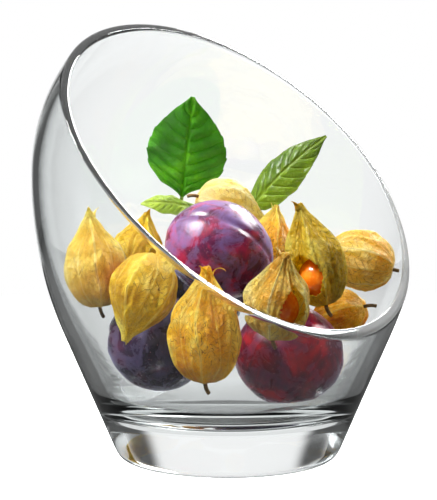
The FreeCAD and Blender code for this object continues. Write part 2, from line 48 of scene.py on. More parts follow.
# ------------------------------------------------------------------ mesh helpers
def make_object(name, vertices, faces, uv=None, layers=None):
    """A smooth mesh piece from millimetre points. layers are named point values."""
    mesh = bpy.data.meshes.new(name)
    mesh.from_pydata([tuple(v) for v in (np.asarray(vertices) * MM)], [], faces)
    for key, values in (layers or {}).items():
        layer = mesh.attributes.new(key, "FLOAT", "POINT")
        layer.data.foreach_set("value", np.asarray(values, dtype=np.float32))
    if uv is not None:
        uv = np.asarray(uv, dtype=np.float32)
        layer = mesh.uv_layers.new(name="UVMap")
        corner = np.empty(len(mesh.loops), dtype=np.int32)
        mesh.loops.foreach_get("vertex_index", corner)
        layer.data.foreach_set("uv", uv[corner].ravel())
    mesh.polygons.foreach_set("use_smooth", [True] * len(mesh.polygons))
    mesh.update()
    piece = bpy.data.objects.new(name, mesh)
    bpy.context.scene.collection.objects.link(piece)
    return piece


def ring_faces(rows, columns, keep=None):
    """Quads of a grid that closes round its columns. keep says which cells stay."""
    faces = []
    for row in range(rows - 1):
        for column in range(columns):
            if keep is not None and not keep[row][column]:
                continue
            after = (column + 1) % columns
            faces.append((row * columns + column, row * columns + after,
                          (row + 1) * columns + after, (row + 1) * columns + column))
    return faces


def tube(points, half_widths, thickness, flat):
    """Closed strip of lens section along points. flat is the direction of its width."""
    sides = 6
    vertices = []
    count = len(points)
    for step, point in enumerate(points):
        ahead = points[min(step + 1, count - 1)] - points[max(step - 1, 0)]
        ahead.normalize()
        wide = (flat - ahead * flat.dot(ahead)).normalized()
        thin = ahead.cross(wide)
        for part in range(sides):
            angle = TAU * part / sides
            vertices.append(point + wide * (half_widths[step] * math.cos(angle))
                            + thin * (thickness * math.sin(angle)))
    faces = ring_faces(count, sides)
    faces.append(tuple(reversed(range(sides))))
    faces.append(tuple((count - 1) * sides + part for part in range(sides)))
    return vertices, faces


def aim(axis, turn):
    """Rotation that takes +Z to axis after a turn in degrees about +Z, as in the CAD."""
    swing = UP.rotation_difference(Vector(axis).normalized()).to_matrix()
    return swing @ Matrix.Rotation(math.radians(turn), 3, "Z")


def smooth_step(low, high, value):
    """0 at low and 1 at high, level at both ends."""
    share = np.clip((value - low) / (high - low), 0, 1)
    return share * share * (3 - 2 * share)


def weld(piece):
    """Joins the points that share a place, such as a pole's."""
    work = bmesh.new()
    work.from_mesh(piece.data)
    bmesh.ops.remove_doubles(work, verts=work.verts, dist=1e-6)
    bmesh.ops.recalc_face_normals(work, faces=work.faces)
    work.to_mesh(piece.data)
    work.free()
    piece.data.polygons.foreach_set("use_smooth", [True] * len(piece.data.polygons))
    piece.data.update()


def thicken(piece, thickness, offset):
    """Gives a sheet its thickness in millimetres."""
    modifier = piece.modifiers.new("thickness", "SOLIDIFY")
    modifier.thickness = thickness * MM
    modifier.offset = offset


# ------------------------------------------------------------------ node helpers
class Shader:
    """A material and short calls that add its nodes."""

    def __init__(self, name):
        self.material = bpy.data.materials.new(name)
        self.material.use_nodes = True
        self.tree = self.material.node_tree
        self.tree.nodes.clear()
        self.output = self.add("ShaderNodeOutputMaterial")

    def add(self, kind, **inputs):
        node = self.tree.nodes.new(kind)
        for key, value in inputs.items():
            self.put(node, key.replace("_", " "), value)
        return node

    def put(self, node, socket, value):
        target = node.inputs[socket]
        if isinstance(value, bpy.types.NodeSocket):
            self.tree.links.new(value, target)
        else:
            target.default_value = value

    def object_place(self):
        return self.add("ShaderNodeTexCoord").outputs["Object"]

    def layer(self, name):
        node = self.add("ShaderNodeAttribute")
        node.attribute_name = name
        return node.outputs["Fac"]

    def uv(self):
        """The piece's two UV values, each on a socket."""
        parts = self.add("ShaderNodeSeparateXYZ", Vector=self.add("ShaderNodeTexCoord").outputs["UV"])
        return parts.outputs[0], parts.outputs[1]

    def vector(self, operation, first, second):
        node = self.add("ShaderNodeVectorMath")
        node.operation = operation
        self.put(node, 0, first)
        self.put(node, 1, second)
        return node.outputs["Value" if operation == "DOT_PRODUCT" else "Vector"]

    def noise(self, place, scale, detail=3.0, roughness=0.5, distortion=0.0):
        node = self.add("ShaderNodeTexNoise", Vector=place, Scale=scale, Detail=detail,
                        Roughness=roughness, Distortion=distortion)
        return node.outputs["Fac"]

    def cells(self, place, scale, feature="DISTANCE_TO_EDGE"):
        node = self.add("ShaderNodeTexVoronoi", Vector=place, Scale=scale)
        node.feature = feature
        return node.outputs["Distance"]

    def math(self, operation, first, second=0.0, clamp=False):
        node = self.add("ShaderNodeMath")
        node.operation = operation
        node.use_clamp = clamp
        self.put(node, 0, first)
        self.put(node, 1, second)
        return node.outputs[0]

    def product(self, first, second):
        return self.math("MULTIPLY", first, second)

    def total(self, first, second):
        return self.math("ADD", first, second)

    def lines(self, value, width):
        """1 on the line midway between each two whole numbers, falling to 0 at width from it."""
        off = self.math("ABSOLUTE", self.math("SUBTRACT", self.math("FRACT", value), 0.5))
        return self.span(off, 0.0, width, 1.0, 0.0)

    def span(self, value, low, high, out_low=0.0, out_high=1.0):
        node = self.add("ShaderNodeMapRange", Value=value)
        node.interpolation_type = "SMOOTHSTEP"
        self.put(node, 1, low)
        self.put(node, 2, high)
        self.put(node, 3, out_low)
        self.put(node, 4, out_high)
        return node.outputs[0]

    def blend(self, share, first, second):
        """A colour between two colours."""
        node = self.tree.nodes.new("ShaderNodeMix")
        node.data_type = "RGBA"
        self.put(node, 0, share)
        self.put(node, 6, first)
        self.put(node, 7, second)
        return node.outputs[2]

    def ramp(self, value, stops):
        node = self.add("ShaderNodeValToRGB", Fac=value)
        ramp = node.color_ramp
        while len(ramp.elements) < len(stops):
            ramp.elements.new(0.5)
        for element, (place, colour) in zip(ramp.elements, stops):
            element.position = place
            element.color = colour
        return node.outputs["Color"]

    def bump(self, height, strength, distance):
        node = self.add("ShaderNodeBump", Height=height, Strength=strength, Distance=distance)
        return node.outputs["Normal"]

    def mix(self, share, first, second):
        node = self.tree.nodes.new("ShaderNodeMixShader")
        self.put(node, 0, share)
        self.tree.links.new(first.outputs[0], node.inputs[1])
        self.tree.links.new(second.outputs[0], node.inputs[2])
        return node

    def set(self, node, **values):
        """Sets plain values on sockets by name."""
        for key, value in values.items():
            node.inputs[key.replace("_", " ")].default_value = value

    def finish(self, shader):
        self.tree.links.new(shader.outputs[0], self.output.inputs["Surface"])
        return self.material


def rgb(red, green, blue):
    """Colour from 0-255 screen values to the linear values that shaders take."""
    def linear(value):
        value /= 255
        return value / 12.92 if value <= 0.04045 else ((value + 0.055) / 1.055) ** 2.4
    return (linear(red), linear(green), linear(blue), 1.0)


# ------------------------------------------------------------------ glass bowl
BASE_RADIUS = 46.2
BASE_ROUNDING = 7.8
CONE_ANGLE = math.radians(23.6)
CONE_TOP = 52.9
BELLY_HEIGHT = 120.3
BELLY_RADIUS = 83.5
LOWER_ARC = 168.3
UPPER_ARC = 85.8
INNER_RADIUS = 80.5
INNER_LOWER = 150.0
INNER_UPPER = 79.3
INNER_CONE = math.radians(26.0)
FLOOR_HEIGHT = 19.5
FLOOR_ARC = 260.0
FLOOR_CORNER = 16.0
MOUTH_SLOPE = math.tan(math.radians(51.75))
MOUTH_HEIGHT = 144.6
RIM_ROUNDING = 1.5
FLAT_STATIONS = (0.0, 0.25, 0.5, 0.75, 0.9)   # shares of the flat foot's radius
CORNER_POINTS = 10
WALL_POINTS = 64
RIM_POINTS = 7
OUTER_ROWS = len(FLAT_STATIONS) + CORNER_POINTS + WALL_POINTS - 1
RIM_ROWS = range(OUTER_ROWS + 1, OUTER_ROWS + 2 * RIM_POINTS - 2)   # rows on the rim


def outer_wall(z):
    """Outer radius above the foot corner."""
    if z > BELLY_HEIGHT:
        return BELLY_RADIUS - UPPER_ARC + math.sqrt(UPPER_ARC ** 2 - (z - BELLY_HEIGHT) ** 2)
    if z > CONE_TOP:
        return BELLY_RADIUS - LOWER_ARC + math.sqrt(LOWER_ARC ** 2 - (z - BELLY_HEIGHT) ** 2)
    foot = BELLY_RADIUS - LOWER_ARC + math.sqrt(LOWER_ARC ** 2 - (CONE_TOP - BELLY_HEIGHT) ** 2)
    return foot - (CONE_TOP - z) * math.tan(CONE_ANGLE)


def inner_wall(z):
    """Inner radius above the floor corner."""
    if z > BELLY_HEIGHT:
        return INNER_RADIUS - INNER_UPPER + math.sqrt(INNER_UPPER ** 2 - (z - BELLY_HEIGHT) ** 2)
    top = BELLY_HEIGHT - INNER_LOWER * math.sin(INNER_CONE)
    if z > top:
        return INNER_RADIUS - INNER_LOWER + math.sqrt(INNER_LOWER ** 2 - (z - BELLY_HEIGHT) ** 2)
    return INNER_RADIUS - INNER_LOWER * (1 - math.cos(INNER_CONE)) - (top - z) * math.tan(INNER_CONE)


def floor_corner_points():
    """Centre of the floor rounding, and where it meets the dish and the wall."""
    down = np.array([-math.sin(INNER_CONE), -math.cos(INNER_CONE)])
    inward = np.array([-math.cos(INNER_CONE), math.sin(INNER_CONE)])
    top = np.array([inner_wall(BELLY_HEIGHT - INNER_LOWER * math.sin(INNER_CONE)),
                    BELLY_HEIGHT - INNER_LOWER * math.sin(INNER_CONE)])
    dish = np.array([0.0, FLOOR_HEIGHT + FLOOR_ARC])
    start = top + inward * FLOOR_CORNER - dish
    along = start @ down
    reach = -along + math.sqrt(along ** 2 - start @ start + (FLOOR_ARC - FLOOR_CORNER) ** 2)
    centre = dish + start + down * reach
    on_wall = centre - inward * FLOOR_CORNER
    on_dish = dish + (centre - dish) * FLOOR_ARC / (FLOOR_ARC - FLOOR_CORNER)
    return centre, on_wall, on_dish


def mouth_crossing(wall, lean):
    """Height where the wall profile meets the slanted mouth plane."""
    low, high = 20.0, 199.0   # above the foot's corner, and under the top of the wall's arc
    for _ in range(50):
        middle = (low + high) / 2
        if middle < MOUTH_HEIGHT + MOUTH_SLOPE * wall(middle) * lean:
            low = middle
        else:
            high = middle
    return (low + high) / 2


def bend(start, corner, end, count):
    """Points of a soft corner from start to end."""
    shares = np.linspace(0, 1, count)[:, None]
    return (1 - shares) ** 2 * start + 2 * shares * (1 - shares) * corner + shares ** 2 * end


def bowl_column(angle):
    """Profile (radius, height) at one angle, from the middle of the foot to the middle of the floor."""
    lean = math.sin(angle)
    foot_in = BASE_ROUNDING * math.tan((math.pi / 2 - CONE_ANGLE) / 2)
    flat_end = BASE_RADIUS - foot_in
    points = [np.array([flat_end * share, 0.0]) for share in FLAT_STATIONS]
    for share in np.linspace(0, 1, CORNER_POINTS):
        turn = share * (math.pi / 2 - CONE_ANGLE)
        points.append(np.array([flat_end + BASE_ROUNDING * math.sin(turn),
                                BASE_ROUNDING * (1 - math.cos(turn))]))
    start = points[-1][1]
    top = mouth_crossing(outer_wall, lean)
    inner_top = mouth_crossing(inner_wall, lean)
    outer_edge = np.array([outer_wall(top), top])
    inner_edge = np.array([inner_wall(inner_top), inner_top])
    for z in np.linspace(start, top - RIM_ROUNDING, WALL_POINTS)[1:]:
        points.append(np.array([outer_wall(z), z]))
    across = inner_edge - outer_edge
    width = np.linalg.norm(across)
    across /= width
    ease = min(RIM_ROUNDING, width * 0.45)
    points += list(bend(points[-1], outer_edge, outer_edge + across * ease, RIM_POINTS)[1:])
    inner_start = np.array([inner_wall(inner_top - RIM_ROUNDING), inner_top - RIM_ROUNDING])
    points += list(bend(inner_edge - across * ease, inner_edge, inner_start, RIM_POINTS))
    centre, on_wall, on_dish = floor_corner_points()
    for z in np.linspace(inner_top - RIM_ROUNDING, on_wall[1], WALL_POINTS)[1:]:
        points.append(np.array([inner_wall(z), z]))
    first = math.atan2(on_wall[1] - centre[1], on_wall[0] - centre[0])
    last = math.atan2(on_dish[1] - centre[1], on_dish[0] - centre[0])
    for turn in np.linspace(first, last, 12)[1:]:
        points.append(centre + FLOOR_CORNER * np.array([math.cos(turn), math.sin(turn)]))
    for share in np.linspace(1, 0, 14)[1:]:
        r = on_dish[0] * share
        points.append(np.array([r, FLOOR_HEIGHT + FLOOR_ARC - math.sqrt(FLOOR_ARC ** 2 - r ** 2)]))
    return points


def build_bowl():
    """The glass: one closed mesh, its outside and inside both turned about the axis."""
    columns = 224
    profile = [bowl_column(TAU * column / columns) for column in range(columns)]
    rows = len(profile[0])
    vertices = []
    for row in range(rows):
        for column in range(columns):
            angle = TAU * column / columns
            r, z = profile[column][row]
            vertices.append((r * math.cos(angle), r * math.sin(angle), z))
    # rows on the rim, which get a painted whitish glare in place of a reflection
    painted_rim_glare = [1.0 if row in RIM_ROWS else 0.0 for row in range(rows) for _ in range(columns)]
    # each end row lies in one point on the axis, so one point stands for it
    kept = slice(columns, (rows - 1) * columns)
    painted_rim_glare = painted_rim_glare[kept] + [0.0, 0.0]
    vertices = vertices[kept] + [vertices[0], vertices[-columns]]
    rows -= 2
    faces = ring_faces(rows, columns)
    low, high = rows * columns, rows * columns + 1
    for column in range(columns):
        after = (column + 1) % columns
        faces.append((after, column, low))
        faces.append(((rows - 1) * columns + column, (rows - 1) * columns + after, high))
    piece = make_object("bowl_glass", vertices, faces, None, {"painted_rim_glare": painted_rim_glare})
    piece.data.materials.append(glass_material())
    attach(piece, "bowl")
    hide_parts("glass_bowl")
    return piece


def glass_material():
    """Clear glass with the faint waves of hand work, letting lamps shine through it."""
    m = Shader("clear_glass")
    place = m.object_place()
    waves = m.noise(place, 28.0, 2.0, 0.4)
    normal = m.bump(waves, 0.05, 0.002)
    glass = m.add("ShaderNodeBsdfGlass", Color=(0.975, 0.985, 0.985, 1), Roughness=0.0, IOR=1.5,
                  Normal=normal)
    # painted reflection: the rim is a little frosted, least at the left, standing in for a lamp's reflection
    # on it; perfectly clear it traps the light and goes black
    rightward = m.vector("DOT_PRODUCT", place, (1.0, -0.35, 0.0))
    share = m.product(m.layer("painted_rim_glare"), m.span(rightward, 0.0, 0.05, 0.04, 0.36))
    glare_grey = (0.9, 0.92, 0.92, 1)
    painted_glare = m.mix(0.5, m.add("ShaderNodeBsdfDiffuse", Color=glare_grey),
                  m.add("ShaderNodeBsdfTranslucent", Color=glare_grey))
    glass = m.mix(share, glass, painted_glare)
    clear = m.add("ShaderNodeBsdfTransparent", Color=(0.93, 0.94, 0.94, 1))
    path = m.add("ShaderNodeLightPath")
    return m.finish(m.mix(path.outputs["Is Shadow Ray"], glass, clear))


# ------------------------------------------------------------------ plums
# height as a share of the half length, radius as a share of the half width
PLUM_OUTLINE = ((-1.00, 0.00), (-0.88, 0.44), (-0.56, 0.81), (-0.10, 0.99), (0.37, 0.92), (0.74, 0.65),
                (0.91, 0.38), (0.965, 0.19), (0.92, 0.00))
SEAM_DEPTH = 0.75
SEAM_HALF_WIDTH = 1.5


def plum_profile(count):
    """Smooth outline through the stations, as (height share, radius share)."""
    stations = [Vector((width, height, 0)) for height, width in PLUM_OUTLINE]
    # one more at each end, past the axis, steers the ends of the curve
    stations = [Vector((-0.30, -1.0, 0))] + stations + [Vector((-0.19, 0.955, 0))]
    outline = []
    for index in range(1, len(stations) - 2):
        before, start, end, after = stations[index - 1:index + 3]
        for step in range(24):
            t = step / 24
            outline.append(0.5 * (2 * start + (end - before) * t
                                  + (2 * before - 5 * start + 4 * end - after) * t ** 2
                                  + (3 * start - before - 3 * end + after) * t ** 3))
    outline.append(stations[-2])
    reach = np.concatenate([[0], np.cumsum([(b - a).length for a, b in zip(outline, outline[1:])])])
    spots = np.linspace(0, reach[-1], count)
    heights, radii = [p.y for p in outline], [p.x for p in outline]
    return [(float(np.interp(spot, reach, heights)), max(float(np.interp(spot, reach, radii)), 0.0))
            for spot in spots]


def build_plum(node, body, centre, axis, turn, half_length, half_width, material):
    """A plum with its seam along one side and a slightly uneven skin."""
    rows, columns = 120, 150
    rotation = aim(axis, turn)
    vertices, uv, seams = [], [], []
    for row, (high, wide) in enumerate(plum_profile(rows)):
        s, r = high * half_length, wide * half_width
        for column in range(columns):
            angle = TAU * column / columns
            off = (angle + math.pi) % TAU - math.pi
            seam = (math.exp(-(off * r / SEAM_HALF_WIDTH) ** 2)
                    * (1 - 0.4 * float(smooth_step(0.8, 1.0, abs(high)))))
            point = Vector((r * math.cos(angle), r * math.sin(angle), s))
            wobble = noise.noise(point * 0.06 + Vector((half_length, turn, 0))) * 0.45 - 0.5
            fine = noise.noise(point * 0.35) * 0.06
            point += point.normalized() * (wobble + fine - SEAM_DEPTH * seam)
            vertices.append(rotation @ point + Vector(centre))
            uv.append((column / columns, row / (rows - 1)))
            seams.append(seam)
    faces = ring_faces(rows, columns)
    piece = make_object(node + "_skin", vertices, faces, uv, {"seam": seams})
    weld(piece)
    piece.data.materials.append(material)
    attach(piece, body)
    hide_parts(node)
    return piece


def plum_material(name, dark, main, bright, bloom, bloom_share, shift):
    """Mottled skin under a waxy bloom that has been rubbed off in patches."""
    m = Shader(name)
    place = m.vector("ADD", m.object_place(), shift)
    patches = m.noise(place, 70.0, 5.0, 0.62, 0.8)
    skin = m.ramp(patches, [(0.36, dark), (0.50, main), (0.60, bright)])
    freckle = m.span(m.cells(place, 900.0, "F1"), 0.10, 0.22, 1.0, 0.0)
    freckle = m.product(freckle, m.span(m.noise(place, 300.0, 1.0), 0.5, 0.6))
    skin = m.blend(m.product(freckle, 0.35), skin, rgb(214, 150, 140))
    streaks = m.noise(place, 260.0, 6.0, 0.65)
    wax = m.span(m.noise(place, 105.0, 7.0, 0.68, 0.6), 0.42, 0.60)
    film = m.product(wax, m.span(streaks, 0.3, 0.7, 0.55, 1.0))
    film = m.math("ADD", film, 0.08, True)
    film = m.math("MULTIPLY", film, bloom_share, True)
    film = m.math("MAXIMUM", film, m.product(m.layer("seam"), 0.25 * bloom_share))
    colour = m.blend(film, skin, bloom)
    gloss = m.total(m.product(film, 0.30), 0.22)
    pits = m.noise(place, 1400.0, 2.0)
    normal = m.bump(m.total(m.product(pits, 0.4), m.product(streaks, 0.9)), 0.22, 0.0005)
    body = m.add("ShaderNodeBsdfPrincipled", Base_Color=colour, Roughness=gloss, Normal=normal)
    m.set(body, Subsurface_Weight=0.12, Subsurface_Radius=(0.004, 0.001, 0.001), Subsurface_Scale=0.6,
          Coat_Weight=0.10, Coat_Roughness=0.22,
          Sheen_Weight=0.30, Sheen_Roughness=0.35, Sheen_Tint=(0.55, 0.55, 0.85, 1))
    return m.finish(body)


# ------------------------------------------------------------------ physalis
# share of the husk's length from the stalk, and share of its radius on a rib
STATIONS = ((0.00, 0.30), (0.05, 0.58), (0.18, 0.87), (0.42, 1.00), (0.64, 0.82), (0.80, 0.50),
            (0.92, 0.22), (1.00, 0.10))
BULB_SHARE = 0.42      # where the husk is widest
RIB_PAIRS = 2.5        # half the number of main ribs; as many small ribs lie between them
RIB_TWIST = 0.12       # radians the ribs wind round from stalk to tip


def swell(share):
    """Rib radius along the husk, smoothly through the stations."""
    places = [station[0] for station in STATIONS]
    values = [station[1] for station in STATIONS]
    index = max(i for i in range(len(places)) if places[i] <= share + 1e-9)
    if index >= len(places) - 1:
        return values[-1]
    low, high = places[index], places[index + 1]

    def slope(i):
        if i == 0:
            return (values[1] - values[0]) / (places[1] - places[0])
        if i == len(places) - 1:
            return (values[-1] - values[-2]) / (places[-1] - places[-2])
        return (values[i + 1] - values[i - 1]) / (places[i + 1] - places[i - 1])

    step = (share - low) / (high - low)
    width = high - low
    return ((2 * step ** 3 - 3 * step ** 2 + 1) * values[index]
            + (step ** 3 - 2 * step ** 2 + step) * width * slope(index)
            + (-2 * step ** 3 + 3 * step ** 2) * values[index + 1]
            + (step ** 3 - step ** 2) * width * slope(index + 1))


def torn_cells(tears, rows, columns, seed):
    """Which cells of the husk's grid stay: ragged windows are left out."""
    keep = [[True] * columns for _ in range(rows - 1)]
    for facing, low, high, half, lean in tears:
        for row in range(rows - 1):
            share = (row + 0.5) / (rows - 1)
            if not low < share < high:
                continue
            level = (share - low) / (high - low)
            ragged = 0.16 * noise.noise(Vector((share * 40, seed, 0.0)))
            room = half * (math.sin(math.pi * level) ** 0.6 + ragged)
            for column in range(columns):
                angle = 360 * (column + 0.5) / columns
                gap = (angle - facing - lean * (level - 0.5) + 180) % 360 - 180
                if abs(gap) < room:
                    keep[row][column] = False
    return keep


def lobe_tip(heading, reach, curl, lift, radius, length):
    """A long dry point of a lobe, curling out of the closed tip of the husk."""
    steps = 14
    out = Vector((math.cos(math.radians(heading)), math.sin(math.radians(heading)), 0))
    spot = Vector((0, 0, length * (1 - lift))) + out * (radius * 0.14)
    path, widths = [], []
    for step in range(steps + 1):
        share = step / steps
        if step:
            spot = spot + (UP * math.cos(curl * share) + out * math.sin(curl * share)) * (reach / steps)
        path.append(spot.copy())
        widths.append(1.7 * (1 - share) ** 1.3 + 0.12)
    return tube(path, widths, 0.14, UP.cross(out))


def build_husk(name, body, bulb, axis, turn, radius, length, material, seed, tears=(), tips=(),
               crumple=0.8, glow=None):
    """A papery calyx. Each tear is (facing, low, high, half width, lean) in degrees and length
    shares, each tip (heading, reach, curl, lift), and glow (facing, share, half width)."""
    rows, columns = 120, 180
    rotation = aim(axis, turn)
    origin = Vector(bulb) - rotation @ Vector((0, 0, BULB_SHARE * length))
    vertices, uv, ribs, shines, painted_hollow_shades = [], [], [], [], []

    def put_point(point, place, rib=0.0, shine=0.0, painted_hollow_shade=0.0):
        vertices.append(rotation @ point + origin)
        uv.append(place)
        ribs.append(rib)
        shines.append(shine)
        painted_hollow_shades.append(painted_hollow_shade)

    drift = Vector((seed * 3.7, seed * 1.3, seed * 2.1))
    for row in range(rows):
        share = row / (rows - 1)
        pinch = (0.13 + 0.26 * smooth_step(0.55, 0.95, share)
                 + 0.14 * (1 - smooth_step(0.0, 0.22, share)))
        for column in range(columns):
            angle = TAU * column / columns
            wander = 0.16 * noise.noise(Vector((angle * 0.3, share * 2.4, seed)))
            wound = angle + wander + RIB_TWIST * share
            main = abs(math.sin(RIB_PAIRS * wound))
            minor = abs(math.cos(RIB_PAIRS * wound))
            rib = math.exp(-(main / 0.10) ** 2)
            small = math.exp(-(minor / 0.085) ** 2)
            section = 1 - pinch * main ** 0.8 + 0.030 * small * (1 - share)
            place = Vector((math.cos(angle) * 6, math.sin(angle) * 6, share * 9)) + drift
            crease = noise.noise(Vector((place.x * 1.3, place.y * 1.3, place.z * 0.45)))
            fold = abs(noise.noise(Vector((place.x * 0.55, place.y * 0.55, place.z * 0.35 + 7))))
            dent = min(noise.noise(place * 0.28), 0.1)
            fade = min(1.0, 4 * share) * min(1.0, 5 * (1 - share))
            r = radius * swell(share) * section + (0.75 * crease - 2.4 * fold + crumple * dent) * fade
            r = max(r * 0.985, 0.25)
            shine = 0.0
            if glow:
                gap = abs((math.degrees(angle) - glow[0] + 180) % 360 - 180) / glow[2]
                shine = math.exp(-(gap ** 2) - ((share - glow[1]) / 0.16) ** 2)
            # the last value marks the sunken gores between the main ribs, where the paper gets painted shade
            put_point(Vector((r * math.cos(angle), r * math.sin(angle), share * length)),
                      ((wound / TAU) % 1.0, share),
                      max(rib, 0.45 * small), shine, main ** 1.5 * (1 - small))
    faces = ring_faces(rows, columns, torn_cells(tears, rows, columns, seed))
    base = len(vertices)
    put_point(Vector((0, 0, 0.15)), (0.5, 0.0))
    for column in range(columns):
        faces.append((base, (column + 1) % columns, column))
    for heading, reach, curl, lift in tips:
        strip, strip_faces = lobe_tip(heading, reach, curl, lift, radius, length)
        start = len(vertices)
        for point in strip:
            put_point(point, (heading / 360, 1.0), 0.25)
        faces += [tuple(start + index for index in face) for face in strip_faces]
    piece = make_object("husk_%s_paper" % name, vertices, faces, uv,
                        {"rib": ribs, "glow": shines, "painted_hollow_shade": painted_hollow_shades})
    if tears:
        thicken(piece, 0.25, -1)
    piece.data.materials.append(material)
    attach(piece, body)
    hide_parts("husk_" + name)
    return piece


def husk_material(name, pale, main, deep, vein, through=0.5):
    """Dry paper: ribs, side veins that branch off them, a fine net, blotches, and light through it."""
    m = Shader(name)
    place = m.object_place()
    wide = m.noise(place, 80.0, 3.0, 0.55)
    fine = m.noise(place, 420.0, 4.0, 0.6)
    colour = m.ramp(m.total(m.product(wide, 0.8), m.product(fine, 0.2)),
                    [(0.36, deep), (0.50, main), (0.64, pale)])
    rib = m.layer("rib")
    warp = m.noise(place, 130.0, 3.0)
    around, up_share = m.uv()
    # distance from the nearest of ten even lines along the husk, 0 on a line and 1 midway
    gap = m.math("SUBTRACT", m.product(m.math("FRACT", m.product(around, 10.0)), 2.0), 1.0)
    gap = m.math("SUBTRACT", 1.0, m.math("ABSOLUTE", gap))
    climb = m.total(m.total(m.product(up_share, 11.0), m.product(gap, -1.1)), m.product(warp, 2.6))
    side = m.product(m.lines(climb, 0.05), m.span(wide, 0.38, 0.50))
    cross = m.lines(m.total(m.product(around, 34.0), m.product(warp, 5.0)), 0.06)
    cross = m.product(cross, m.span(m.noise(place, 420.0, 2.0), 0.45, 0.55))
    shaken = m.add("ShaderNodeTexNoise", Vector=place, Scale=300.0).outputs["Color"]
    net = m.span(m.cells(m.blend(0.012, place, shaken), 520.0), 0.0, 0.10, 1.0, 0.0)
    patch = m.span(m.noise(place, 60.0, 2.0), 0.38, 0.60, 0.25, 1.0)
    # painted shade: the sunken gores between the ribs are darkened toward deep
    colour = m.blend(m.product(m.layer("painted_hollow_shade"), 0.45), colour, deep)
    colour = m.blend(m.product(net, 0.22), colour, vein)
    colour = m.blend(m.product(m.math("MAXIMUM", side, cross), m.product(patch, 0.85)), colour, vein)
    # painted highlight: a pale band along the raised ribs
    colour = m.blend(m.product(m.span(rib, 0.15, 0.60), 0.55), colour, pale)
    colour = m.blend(m.product(m.span(rib, 0.80, 0.97), m.product(patch, 0.9)), colour, vein)
    colour = m.blend(m.product(m.layer("glow"), 0.80), colour, rgb(232, 128, 22))
    height = m.total(m.product(side, 0.6), m.product(net, 0.25))
    height = m.total(height, m.product(fine, 1.2))
    height = m.total(height, m.product(m.noise(place, 170.0, 3.0, 0.6), 2.4))
    normal = m.bump(height, 1.0, 0.0011)
    face = m.add("ShaderNodeBsdfPrincipled", Base_Color=colour, Roughness=0.42, Normal=normal)
    back = m.add("ShaderNodeBsdfTranslucent", Color=colour, Normal=normal)
    return m.finish(m.mix(through, face, back))


def berry_material():
    """Glossy orange skin, faintly freckled."""
    m = Shader("physalis_berry")
    place = m.object_place()
    tone = m.noise(place, 120.0, 3.0)
    colour = m.ramp(tone, [(0.3, rgb(208, 78, 4)), (0.55, rgb(236, 112, 10)), (0.75, rgb(247, 150, 32))])
    seeds = m.cells(place, 620.0, "F1")
    colour = m.blend(m.span(seeds, 0.15, 0.5, 0.25, 0.0), colour, rgb(250, 176, 70))
    normal = m.bump(m.noise(place, 900.0, 2.0), 0.05, 0.0003)
    body = m.add("ShaderNodeBsdfPrincipled", Base_Color=colour, Roughness=0.2, Normal=normal)
    m.set(body, Subsurface_Weight=0.3, Subsurface_Radius=(0.004, 0.0015, 0.0004), Subsurface_Scale=0.8,
          Coat_Weight=0.4, Coat_Roughness=0.08)
    return m.finish(body)


def stalk_material():
    """Dull brown, grained like dry wood."""
    m = Shader("dry_stalk")
    place = m.object_place()
    grain = m.noise(place, 700.0, 4.0, 0.7)
    colour = m.ramp(grain, [(0.3, rgb(58, 42, 20)), (0.6, rgb(122, 92, 44)), (0.8, rgb(168, 138, 76))])
    normal = m.bump(grain, 0.5, 0.0005)
    return m.finish(m.add("ShaderNodeBsdfPrincipled", Base_Color=colour, Roughness=0.75, Normal=normal))


# ------------------------------------------------------------------ basil
# share of the leaf's length from its base, and share of its half width
LEAF = ((0.00, 0.10), (0.10, 0.50), (0.28, 0.92), (0.46, 1.00), (0.66, 0.84), (0.84, 0.46),
        (0.95, 0.16), (1.00, 0.02))
SIDE_VEINS = 8.5


def leaf_spread(share):
    """Half width at a share of the length, before the outline is smoothed."""
    return float(np.interp(share, [s for s, _ in LEAF], [w for _, w in LEAF]))


